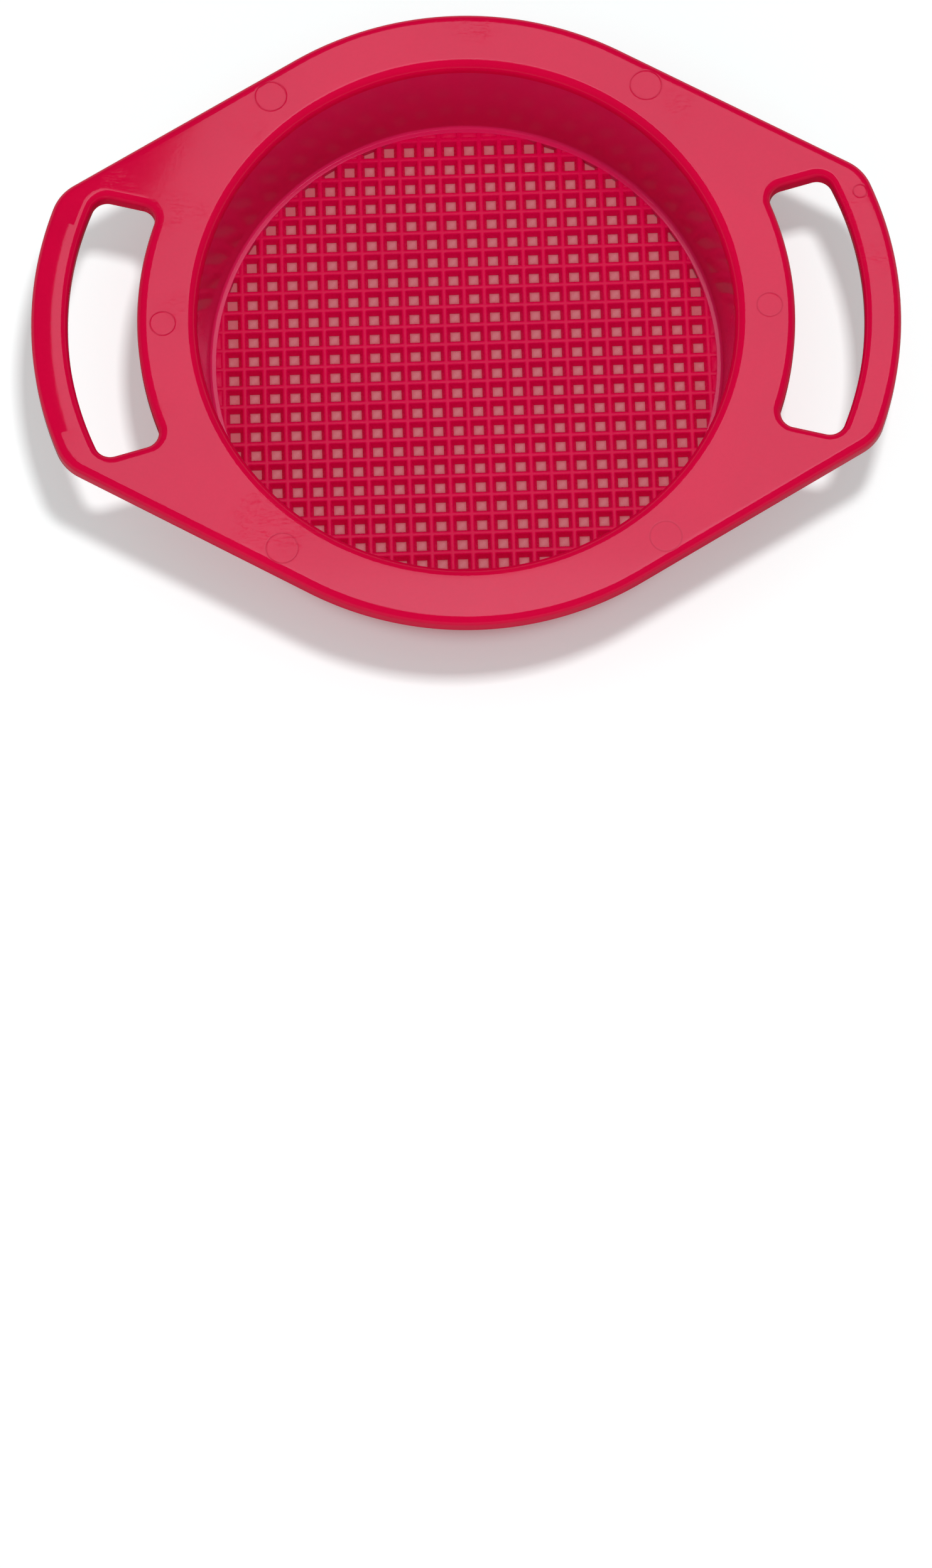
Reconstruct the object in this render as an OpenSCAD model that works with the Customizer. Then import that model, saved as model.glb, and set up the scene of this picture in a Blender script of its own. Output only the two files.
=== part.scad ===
// Two-handled sand sieve, moulded in one piece: a round basin whose floor is a grille of square holes,
// a flat rim with a turned-down edge, and at each side a grip with a hand slot beside it.
// Millimetres, +Z up, +X towards the right grip, +Y towards the back.
// The origin is the centre of the face that the sieve rests on.

/* [Plastic] */
// Colour of the plastic
plastic = "red"; // [red, yellow, blue]

/* [Basin] */
// Height from the resting face to the top of the rim
overall_h = 43; // [30:0.5:70]
// Diameter of the mouth, where the flat of the rim begins
mouth_d = 177; // [150:1:210]
// Radius of the rounded edge of the mouth
mouth_round_r = 3.5; // [3:0.1:6]
// Thickness of the wall of the basin
wall_t = 2.2; // [1.6:0.1:3]
// Lean of the wall from upright, in degrees
wall_draft = 3.8; // [1:0.1:8]
// Thickness of the floor and its grille
floor_t = 2.2; // [1.6:0.1:4]
// Radius of the outer bottom edge of the basin
base_round_r = 1.8; // [0.5:0.1:2]

/* [Rim] */
// Width of the rim round the basin, from the mouth to the outer edge
rim_w = 15.5; // [12:0.5:24]
// Thickness of the rim and of its turned-down edges
rim_t = 2.2; // [1.6:0.1:3]
// Height of a turned-down edge, from the top of the rim
edge_h = 6.5; // [4:0.5:12]
// Radius of the rounded top of a turned-down edge
edge_round_r = 2.5; // [1.6:0.1:3.5]

/* [Handles] */
// Slope of the straight shoulders of the rim, in degrees
shoulder_slope = 30; // [24:1:36]
// Radius of the bowed outer edge of a handle
bow_r = 116; // [95:1:160]
// Radius of the corner between a shoulder and a handle
corner_r = 15; // [8:1:22]
// Width of a grip
grip_w = 11.5; // [9:0.5:16]
// Width of a hand slot at its middle
slot_w = 22; // [18:0.5:30]
// Width of the web between the end of a slot and the shoulder
web_w = 7.8; // [7:0.1:14]
// Slope of the ends of a slot, in degrees
slot_flare = 15; // [5:1:20]
// Radius of the corners of a slot
slot_corner_r = 5; // [3:0.5:7]

/* [Grille] */
// Distance from one hole to the next
hole_pitch = 6.5; // [5:0.1:10]
// Width of a bar at its top
bar_top_w = 1.5; // [0.8:0.1:2.4]
// Width of a bar at its base
bar_base_w = 3.35; // [2.4:0.05:4.2]
// Width of the plain border between the grille and the wall
border_w = 2.2; // [1.5:0.1:6]

/* [Hidden] */
$fn = 96;

// How far a cut runs past the face it opens
overrun = 0.5;
// Flat steps in the bend of a turned-down edge, in a corner, at each end of a bow and in half of a long arc
bend_steps = 4;
corner_steps = 8;
bow_steps = 2;
round_steps = 12;
// The most of a bend's radius that the thickness of the plastic takes, as a share
bend_share = 0.9;
// The bowed stretch of a handle that its grip takes, as a share of the whole bow
grip_share = 0.9;
// The most of the floor's thickness that the rounded bottom edge takes, as a share
base_round_share = 0.9;
// How far past the border a hole's centre may lie before the hole is left out, as a share of its width
open_share = 0.15;

// A unit vector at an angle from +X
function unit(a) = [cos(a), sin(a)];
// Points along an arc, without as many at its start as are to be skipped
function arc(c, r, from, to, steps, skip = 0) =
    [for (i = [skip:steps]) c + r * unit(from + (to - from) * i / steps)];
// A list of points in the opposite order
function reversed(points) = [for (i = [len(points) - 1:-1:0]) points[i]];
// A list of points mirrored across one axis or the other
function flipped(points, x, y) = [for (p = points) [x * p.x, y * p.y]];
// A list of points without its first
function tail(points) = [for (i = [1:len(points) - 1]) points[i]];
// Distance along the direction e from the point q to the circle of radius r round the origin
function run_to_circle(q, e, r) = -(q * e) + sqrt(pow(q * e, 2) - q * q + r * r);

mouth_r = mouth_d / 2;
throat_r = mouth_r - mouth_round_r;
throat_z = overall_h - mouth_round_r;
floor_r = throat_r - (throat_z - floor_t) * tan(wall_draft);
base_r = floor_r + wall_t;
base_round = min(base_round_r, base_round_share * floor_t);
lip_t = min(rim_t, bend_share * edge_round_r);

// The round of the rim, which also bounds the inner side of each slot
rim_r = mouth_r + rim_w;
half_span = rim_r + slot_w + grip_w;
// A handle's outer edge and its slot's outer side are arcs round one point on the X axis
bow_c = [half_span - bow_r, 0];
slot_bow_r = bow_r - grip_w;

// A shoulder leaves the round of the rim where its own normal points, and meets the bow in a rounded corner
shoulder_a = 90 - shoulder_slope;
shoulder_n = unit(shoulder_a);
shoulder_e = unit(-shoulder_slope);
corner_q = (rim_r - corner_r) * shoulder_n;
corner_c = corner_q + run_to_circle(corner_q - bow_c, shoulder_e, bow_r - corner_r) * shoulder_e;
bow_a = atan2(corner_c.y, corner_c.x - bow_c.x);

// A slot's end is a straight line through this point, midway across the slot
slot_mid_x = rim_r + slot_w / 2;
slot_end = [slot_mid_x, (rim_r - web_w - slot_mid_x * shoulder_n.x) / shoulder_n.y];
slot_end_e = unit(slot_flare);
slot_end_n = unit(slot_flare + 90);
slot_q = slot_end - slot_corner_r * slot_end_n;
slot_in_c = slot_q + run_to_circle(slot_q, slot_end_e, rim_r + slot_corner_r) * slot_end_e;
slot_out_c = slot_q + run_to_circle(slot_q - bow_c, slot_end_e, slot_bow_r - slot_corner_r) * slot_end_e;
slot_in_a = atan2(slot_in_c.y, slot_in_c.x);
slot_out_a = atan2(slot_out_c.y, slot_out_c.x - bow_c.x);
grip_a = grip_share * min(bow_a, slot_out_a);

// The section of a turned-down edge, a bent strip: distance in from the outer face, and height from the top
bend_c = [edge_round_r, -edge_round_r];
strip_out = concat([[0, -edge_h]], arc(bend_c, edge_round_r, 180, 90, bend_steps));
strip_in = concat([[lip_t, -edge_h]], arc(bend_c, edge_round_r - lip_t, 180, 90, bend_steps));
section = concat(strip_out, reversed(strip_in));

// Half of the line of the rim's outer edge, from the right grip to the middle of the back.
// Each line of an edge lies a distance d in from its outer face
function rim_half(d) = concat(arc(bow_c, bow_r - d, grip_a, bow_a, bow_steps),
    arc(corner_c, corner_r - d, bow_a, shoulder_a, corner_steps, 1),
    arc([0, 0], rim_r - d, shoulder_a, 90, round_steps));
// The line of the rim's outer edge, from one grip to the other round the back, with the rim to its left
function rim_path(d) = let (half = rim_half(d)) concat(half, tail(reversed(flipped(half, -1, 1))));

// Half of the line of the right slot's edge, from the middle of its inner side to the grip
function slot_half(d) = concat(arc([0, 0], rim_r - d, 0, slot_in_a, round_steps),
    arc(slot_in_c, slot_corner_r + d, slot_in_a + 180, slot_flare + 90, corner_steps, 1),
    arc(slot_out_c, slot_corner_r + d, slot_flare + 90, slot_out_a, corner_steps),
    arc(bow_c, slot_bow_r + d, slot_out_a, grip_a, bow_steps, 1));
// The line of the right slot's edge, from one end of the grip to the other, with the rim to its left
function slot_path(d) = let (half = slot_half(d)) concat(reversed(tail(flipped(half, 1, -1))), half);

// The holes stand in rows half a pitch to either side of the centre lines
grille_r = floor_r - border_w;
hole_base_w = hole_pitch - bar_base_w;
hole_top_w = hole_pitch - bar_top_w;
open_r = grille_r + open_share * hole_base_w;
row_count = floor(open_r / hole_pitch + 1 / 2);
// Width of a hole at a height
function hole_w(z) = hole_base_w + (hole_top_w - hole_base_w) * z / floor_t;
// Half the length of the row of holes that lies at a distance from the centre line
function half_row(y) = hole_pitch * floor(sqrt(max(open_r * open_r - y * y, 0)) / hole_pitch + 1 / 2);

module finish() {
    color(plastic == "yellow" ? [0.96, 0.69, 0.05] :
        plastic == "blue" ? [0.10, 0.30, 0.62] : [0.80, 0.02, 0.19]) children();
}

// A turned-down edge carried along a path, given as one line of points for each point of the section
module turned_edge(lines) {
    size = len(section);
    last = len(lines[0]) - 1;
    polyhedron(
        [for (i = [0:last], j = [0:size - 1]) [lines[j][i].x, lines[j][i].y, overall_h + section[j].y]],
        concat(
            [for (i = [0:last - 1], j = [0:size - 1]) let (k = (j + 1) % size)
                [i * size + j, i * size + k, (i + 1) * size + k, (i + 1) * size + j]],
            [for (j = [0:size / 2 - 2]) [size - 1 - j, size - 2 - j, j + 1, j]],
            [for (j = [0:size / 2 - 2]) [for (k = [j, j + 1, size - 2 - j, size - 1 - j]) last * size + k]]));
}

// The outer edge of the rim, from one grip to the other round the back
module rim_edge() {
    turned_edge([for (p = section) rim_path(p.x)]);
}

// The edge of the right slot, apart from the stretch along the grip
module slot_edge() {
    turned_edge([for (p = section) slot_path(p.x)]);
}

// The right grip: a channel, open below, along the middle of the bow
module grip() {
    translate([bow_c.x, bow_c.y, overall_h]) rotate(-grip_a) rotate_extrude(angle = 2 * grip_a)
        polygon(concat([for (p = strip_out) [bow_r - p.x, p.y]],
            [for (p = reversed(strip_out)) [slot_bow_r + p.x, p.y]],
            [for (p = strip_in) [slot_bow_r + p.x, p.y]],
            [for (p = reversed(strip_in)) [bow_r - p.x, p.y]]));
}

// Trapezium-shaped grooves along X, whose crossings with the same grooves along Y are the holes
module hole_rows() {
    for (k = [1:row_count], side = [-1, 1]) {
        y = side * (k - 1 / 2) * hole_pitch;
        half = half_row(y);
        low = -overrun;
        high = floor_t + overrun;
        if (half > 0)
            translate([-half, y, 0]) rotate([90, 0, 90]) linear_extrude(2 * half)
                polygon([[-hole_w(low) / 2, low], [hole_w(low) / 2, low],
                    [hole_w(high) / 2, high], [-hole_w(high) / 2, high]]);
    }
}

module rim_plate() {
    outer = rim_path(edge_round_r);
    inner = slot_path(edge_round_r);
    finish() translate([0, 0, overall_h - lip_t]) linear_extrude(lip_t) difference() {
        polygon(concat(outer, reversed(flipped(inner, -1, 1)), reversed(flipped(outer, 1, -1)), inner));
        circle(r = mouth_r);
    }
}

module back_rim_edge() {
    finish() rim_edge();
}

module front_rim_edge() {
    finish() mirror([0, 1, 0]) rim_edge();
}

module left_grip() {
    finish() mirror([1, 0, 0]) grip();
}

module right_grip() {
    finish() grip();
}

module left_slot_edge() {
    finish() mirror([1, 0, 0]) slot_edge();
}

module right_slot_edge() {
    finish() slot_edge();
}

module mouth_edge() {
    finish() rotate_extrude() translate([throat_r, throat_z]) difference() {
        intersection() {
            translate([mouth_round_r, 0]) circle(r = mouth_round_r);
            square(mouth_round_r);
        }
        translate([wall_t, -overrun])
            square([mouth_round_r - wall_t + overrun, mouth_round_r - lip_t + overrun]);
    }
}

module basin_wall() {
    finish() rotate_extrude() polygon([[floor_r, floor_t], [base_r, floor_t],
        [throat_r + wall_t, throat_z], [throat_r, throat_z]]);
}

module floor_ring() {
    finish() rotate_extrude() {
        translate([grille_r, 0]) square([base_r - base_round - grille_r, floor_t]);
        translate([base_r - base_round, base_round]) {
            square([base_round, floor_t - base_round]);
            intersection() {
                circle(r = base_round);
                translate([0, -base_round]) square(base_round);
            }
        }
    }
}

module grille() {
    finish() difference() {
        cylinder(r = grille_r, h = floor_t);
        intersection() {
            hole_rows();
            rotate(90) hole_rows();
        }
    }
}

rim_plate();
back_rim_edge();
front_rim_edge();
left_grip();
right_grip();
left_slot_edge();
right_slot_edge();
mouth_edge();
basin_wall();
floor_ring();
grille();
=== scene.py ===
"""Dresses the sand sieve: a one-piece moulding with a round basin, a grille floor and two slotted grips.

Every visible piece is a surface worked out with numpy from the sieve's own sizes, in metres, in the frame of
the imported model: +X towards the right grip, +Y towards the back, +Z up, with the origin on the resting face.
"""
import logging
import math
from collections.abc import Callable
from dataclasses import dataclass
from enum import Enum

import bmesh
import bpy
import numpy as np
from mathutils import Matrix, Vector


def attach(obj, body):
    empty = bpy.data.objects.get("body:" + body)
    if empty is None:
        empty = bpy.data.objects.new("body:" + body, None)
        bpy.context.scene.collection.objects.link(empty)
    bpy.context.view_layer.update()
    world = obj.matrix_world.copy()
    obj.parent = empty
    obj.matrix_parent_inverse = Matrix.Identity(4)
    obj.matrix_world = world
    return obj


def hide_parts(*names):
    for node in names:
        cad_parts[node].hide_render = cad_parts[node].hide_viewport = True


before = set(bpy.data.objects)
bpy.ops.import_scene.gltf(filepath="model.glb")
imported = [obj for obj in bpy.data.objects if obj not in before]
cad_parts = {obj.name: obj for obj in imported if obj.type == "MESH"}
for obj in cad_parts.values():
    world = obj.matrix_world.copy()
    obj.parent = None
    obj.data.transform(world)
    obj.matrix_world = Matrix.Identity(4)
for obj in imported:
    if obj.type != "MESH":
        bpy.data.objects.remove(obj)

Triple = tuple[float, float, float]

LOG = logging.getLogger("sieve")
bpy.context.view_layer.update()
BODY = "root"
MIDDLE = np.zeros(2)
WHITE = (1.0, 1.0, 1.0, 1.0)


class Colourway(Enum):
    """Colours that the moulding is made in, as linear base colours."""

    RED = (0.685, 0.001, 0.046)
    YELLOW = (0.97, 0.43, 0.003)
    BLUE = (0.010, 0.085, 0.32)


COLOURWAY = Colourway.RED


@dataclass(frozen=True)
class SieveSizes:
    """Driving sizes of the moulding, in metres and degrees."""

    overall_h: float = 0.043
    mouth_r: float = 0.0885
    mouth_round_r: float = 0.0035
    wall_t: float = 0.0022
    wall_draft: float = 3.8
    floor_t: float = 0.0022
    base_round_r: float = 0.0018
    rim_w: float = 0.0155
    rim_t: float = 0.0022
    edge_h: float = 0.0065
    edge_round_r: float = 0.0025
    lip_round_r: float = 0.0005
    shoulder_slope: float = 30.0
    bow_r: float = 0.116
    corner_r: float = 0.015
    grip_w: float = 0.0115
    slot_w: float = 0.022
    web_w: float = 0.0078
    slot_flare: float = 15.0
    slot_corner_r: float = 0.005
    grip_share: float = 0.9
    hole_pitch: float = 0.0065
    bar_top_w: float = 0.0015
    bar_base_w: float = 0.00335
    border_w: float = 0.0022
    border_rise: float = 0.00004
    fillet_r: float = 0.001
    overlap: float = 0.0007

    @property
    def rim_r(self) -> float:
        """Radius of the round of the rim."""
        return self.mouth_r + self.rim_w

    @property
    def plate_inset(self) -> float:
        """Distance from an outer face to where the flat plate takes over from the edge."""
        return self.edge_round_r + self.overlap

    @property
    def floor_r(self) -> float:
        """Radius of the basin at the top of its floor."""
        rise = self.overall_h - self.mouth_round_r - self.floor_t
        return self.mouth_r - self.mouth_round_r - rise * math.tan(math.radians(self.wall_draft))

    @property
    def grille_r(self) -> float:
        """Radius of the grille, inside its plain border."""
        return self.floor_r - self.border_w

    @property
    def border_top(self) -> float:
        """Height of the plain border, which lies just over the ends of the bars."""
        return self.floor_t + self.border_rise


@dataclass(frozen=True)
class Steps:
    """Numbers of steps along each stretch of the plan, for a quarter of the sieve."""

    quarter: int = 90
    round: int = 30
    slot_side: int = 22
    slot_corner: int = 16
    turn: int = 14
    corner: int = 18
    bow: int = 6
    grip: int = 29
    bend: int = 10
    lip: int = 4

    @property
    def shoulder(self) -> int:
        """Steps along a shoulder, so that the rim's outer line has as many points as the mouth."""
        return self.quarter - self.round - self.slot_side - self.slot_corner - 1


def unit(degrees: float | np.ndarray) -> np.ndarray:
    """Unit vectors at angles from +X.

    Args:
        degrees: One angle, or an array of angles.

    Returns:
        An array whose last axis holds x and y.
    """
    turn = np.radians(degrees)
    return np.stack([np.cos(turn), np.sin(turn)], axis=-1)


def arc(centre: np.ndarray, radius: float, start: float, end: float, steps: int) -> np.ndarray:
    """Points along an arc: the centre plus the radius times the unit vector at evenly spaced angles.

    Args:
        centre: Centre of the arc.
        radius: Its radius.
        start: Angle of the first point, in degrees.
        end: Angle of the last point, in degrees.
        steps: Number of steps between them.

    Returns:
        An array of steps + 1 points.
    """
    return np.asarray(centre) + radius * unit(np.linspace(start, end, steps + 1))


def run_to_circle(point: np.ndarray, along: np.ndarray, radius: float) -> float:
    """Distance from a point along a unit direction to a circle round the origin.

    Args:
        point: Where the run starts.
        along: Its direction.
        radius: Radius of the circle.

    Returns:
        The longer of the two distances.
    """
    near = float(point @ along)
    return -near + math.sqrt(near * near - float(point @ point) + radius * radius)


def grid_faces(rows: int, cols: int, wrap_rows: bool = False, wrap_cols: bool = False) -> np.ndarray:
    """Quads of a grid of points that is stored row by row.

    Args:
        rows: Number of rows.
        cols: Number of points in a row.
        wrap_rows: Whether the last row joins the first.
        wrap_cols: Whether each row's last point joins its first.

    Returns:
        An array of four point numbers to a face.
    """
    down = np.arange(rows - (not wrap_rows))
    across = np.arange(cols - (not wrap_cols))
    i, j = np.meshgrid(down, across, indexing="ij")
    below = (i + 1) % rows
    beside = (j + 1) % cols
    corners = [i * cols + j, below * cols + j, below * cols + beside, i * cols + beside]
    return np.stack(corners, -1).reshape(-1, 4)


@dataclass
class Shell:
    """A mesh in the making: points, and faces as arrays of point numbers."""

    points: np.ndarray
    faces: list[np.ndarray]

    def mirrored(self, x: float, y: float) -> "Shell":
        """The shell with its x and y multiplied by 1 or -1."""
        return Shell(self.points * np.array([x, y, 1.0]), [face.copy() for face in self.faces])

    @staticmethod
    def joined(shells: list["Shell"]) -> "Shell":
        """Several shells as one, with each one's faces counted on from the points before it.

        Args:
            shells: The shells to join.

        Returns:
            One shell that holds all their points and faces.
        """
        starts = np.cumsum([0] + [len(shell.points) for shell in shells[:-1]])
        faces = [face + start for shell, start in zip(shells, starts) for face in shell.faces]
        return Shell(np.concatenate([shell.points for shell in shells]), faces)

    def welded(self, pitch: float = 1e-7) -> "Shell":
        """The shell with points that lie in one place made one point.

        Args:
            pitch: Distance under which points count as one, in metres.

        Returns:
            A shell with no doubled points.
        """
        keys = np.round(self.points / pitch).astype(np.int64)
        _, first, back = np.unique(keys, axis=0, return_index=True, return_inverse=True)
        return Shell(self.points[first], [back.reshape(-1)[face] for face in self.faces])

    def thickened(self, depth: float) -> "Shell":
        """A flat sheet made solid: the sheet, a copy below, and a side under each edge that has one face.

        Args:
            depth: Thickness, downwards.

        Returns:
            The closed shell.
        """
        sheet = self.welded()
        quads = np.concatenate(sheet.faces)
        edges = np.stack([quads, np.roll(quads, -1, axis=1)], -1).reshape(-1, 2)
        ordered = np.sort(edges, axis=1)
        _, first, uses = np.unique(ordered, axis=0, return_index=True, return_counts=True)
        start, end = edges[first[uses == 1]].T
        count = len(sheet.points)
        sides = np.stack([start, end, end + count, start + count], -1)
        points = np.concatenate([sheet.points, sheet.points - np.array([0.0, 0.0, depth])])
        return Shell(points, [quads, quads + count, sides])


@dataclass(frozen=True)
class Section:
    """A cross-section as two matched lines of points: the face that shows, and the back behind it."""

    face: np.ndarray
    back: np.ndarray

    @property
    def loop(self) -> np.ndarray:
        """The closed line round the section."""
        return np.concatenate([self.face, self.back[::-1]])

    @staticmethod
    def carried(points: np.ndarray, closed: bool = False) -> Shell:
        """A solid made by carrying a section along a path.

        Args:
            points: The section's loop at each place along the path, as rows of points.
            closed: Whether the path comes back to its start, so that the solid needs no ends.

        Returns:
            The shell of the solid. Its ends are strips between the matched lines.
        """
        rows, cols = points.shape[:2]
        faces = [grid_faces(rows, cols, wrap_rows=closed, wrap_cols=True)]
        if not closed:
            j = np.arange(cols // 2 - 1)
            strip = np.stack([j, j + 1, cols - 2 - j, cols - 1 - j], -1)
            faces += [strip, strip[:, ::-1] + (rows - 1) * cols]
        return Shell(points.reshape(-1, 3), faces)

    def turned(self, centre: np.ndarray, angles: np.ndarray, closed: bool = False) -> Shell:
        """A solid of revolution: the section's first coordinate is the distance from an upright axis.

        Args:
            centre: Where the axis stands.
            angles: Angles of the section's places, in degrees.
            closed: Whether the angles go all the way round.

        Returns:
            The shell of the solid.
        """
        loop = self.loop
        flat = np.asarray(centre) + loop[None, :, :1] * unit(angles)[:, None, :]
        height = np.broadcast_to(loop[None, :, 1:], flat.shape[:2] + (1,))
        return self.carried(np.concatenate([flat, height], -1), closed)

    def along(self, line_at: Callable[[float], np.ndarray], top: float) -> Shell:
        """A solid along a line of the plan: the section's first coordinate is the distance in from the line.

        Args:
            line_at: Gives the line's points at a distance in.
            top: Height of the section's zero.

        Returns:
            The shell of the solid.
        """
        loop = self.loop
        lines = np.stack([line_at(inset) for inset in loop[:, 0]], axis=1)
        height = np.broadcast_to((top + loop[:, 1])[None, :, None], lines.shape[:2] + (1,))
        return self.carried(np.concatenate([lines, height], -1))


class Plan:
    """The sieve's lines seen from above, each worked out a distance in from its outer face."""

    def __init__(self, sizes: SieveSizes, steps: Steps) -> None:
        """Works out the centres and angles of the arcs.

        Args:
            sizes: Sizes of the moulding.
            steps: Steps along each stretch.
        """
        self.sizes = sizes
        self.steps = steps
        half_span = sizes.rim_r + sizes.slot_w + sizes.grip_w
        self.bow_c = np.array([half_span - sizes.bow_r, 0.0])
        self.slot_bow_r = sizes.bow_r - sizes.grip_w
        self.shoulder_a = 90.0 - sizes.shoulder_slope
        self.normal = unit(self.shoulder_a)
        self.along = unit(-sizes.shoulder_slope)
        start = (sizes.rim_r - sizes.corner_r) * self.normal
        run = run_to_circle(start - self.bow_c, self.along, sizes.bow_r - sizes.corner_r)
        self.corner_c = start + run * self.along
        self.bow_a = self.angle(self.corner_c - self.bow_c)
        self.set_slot()
        self.set_runs()
        self.grip_a = sizes.grip_share * min(self.bow_a, self.slot_out_a)

    def set_slot(self) -> None:
        """Finds the rounds of the slot's corners, between its straight end and its two long sides.

        The end crosses the middle of the slot's width, a web's width in from the shoulder.
        """
        s = self.sizes
        self.slot_end_a = s.slot_flare + 90.0
        end_along = unit(s.slot_flare)
        middle_x = s.rim_r + s.slot_w / 2
        middle_y = (s.rim_r - s.web_w - middle_x * self.normal[0]) / self.normal[1]
        start = np.array([middle_x, middle_y]) - s.slot_corner_r * unit(self.slot_end_a)
        run = run_to_circle(start, end_along, s.rim_r + s.slot_corner_r)
        self.slot_in_c = start + run * end_along
        run = run_to_circle(start - self.bow_c, end_along, self.slot_bow_r - s.slot_corner_r)
        self.slot_out_c = start + run * end_along
        self.slot_in_a = self.angle(self.slot_in_c)
        self.slot_out_a = self.angle(self.slot_out_c - self.bow_c)

    def set_runs(self) -> None:
        """Finds where the shoulder's points lie, so that each faces a point of the slot's outer corner.

        A point's run along the shoulder is that of the corner's centre, plus the gap to the shoulder times
        the tangent of the angle between the point's direction and the shoulder's normal.
        """
        s = self.sizes
        web = self.slot_in_c + (s.slot_corner_r + s.plate_inset) * unit(self.slot_end_a)
        self.web_run = float(web @ self.along)
        start = self.corner_c + (s.corner_r - s.plate_inset) * self.normal
        self.turn_a = self.angle(start - self.slot_out_c)
        turns = np.linspace(self.turn_a, self.slot_end_a, self.steps.turn + 1)[1:]
        gap = s.rim_r - s.plate_inset - float(self.slot_out_c @ self.normal)
        lean = np.tan(np.radians(self.shoulder_a - turns))
        self.turn_runs = float(self.slot_out_c @ self.along) + gap * lean

    @staticmethod
    def angle(vector: np.ndarray) -> float:
        """Angle of a vector from +X, in degrees."""
        return math.degrees(math.atan2(vector[1], vector[0]))

    def rim_half(self, inset: float) -> np.ndarray:
        """Right half of the rim's outer line: bow, corner, straight shoulder, then the round.

        Args:
            inset: Distance in from the outer face.

        Returns:
            Points from the end of the right grip to the middle of the back.
        """
        s, n = self.sizes, self.steps
        straight = np.linspace(self.web_run, 0.0, n.shoulder + 1)[:-1]
        runs = np.concatenate([self.turn_runs, straight])[:, None]
        return np.concatenate([
            arc(self.bow_c, s.bow_r - inset, self.grip_a, self.bow_a, n.bow),
            arc(self.corner_c, s.corner_r - inset, self.bow_a, self.shoulder_a, n.corner)[1:],
            (s.rim_r - inset) * self.normal + runs * self.along,
            arc(MIDDLE, s.rim_r - inset, self.shoulder_a, 90.0, n.round)])

    def rim_line(self, inset: float) -> np.ndarray:
        """The rim's outer line from the right grip round the back to the left one."""
        half = self.rim_half(inset)
        return np.concatenate([half, half[-2::-1] * np.array([-1.0, 1.0])])

    def slot_half(self, inset: float) -> np.ndarray:
        """Back half of the right slot's line: inner side, corner, straight end, corner, then outer side.

        Args:
            inset: Distance from the slot's face into the rim.

        Returns:
            Points from the middle of the inner side to the end of the grip.
        """
        s, n = self.sizes, self.steps
        round_r = s.slot_corner_r + inset
        return np.concatenate([
            arc(MIDDLE, s.rim_r - inset, 0.0, self.slot_in_a, n.slot_side),
            arc(self.slot_in_c, round_r, self.slot_in_a + 180.0, self.slot_end_a, n.slot_corner)[1:],
            arc(self.slot_out_c, round_r, self.slot_end_a, self.turn_a, n.turn),
            arc(self.slot_out_c, round_r, self.turn_a, self.slot_out_a, n.corner)[1:],
            arc(self.bow_c, self.slot_bow_r + inset, self.slot_out_a, self.grip_a, n.bow)[1:]])

    def slot_line(self, inset: float) -> np.ndarray:
        """The right slot's line from the front end of the grip round to its back end."""
        half = self.slot_half(inset)
        return np.concatenate([half[:0:-1] * np.array([1.0, -1.0]), half])


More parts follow.
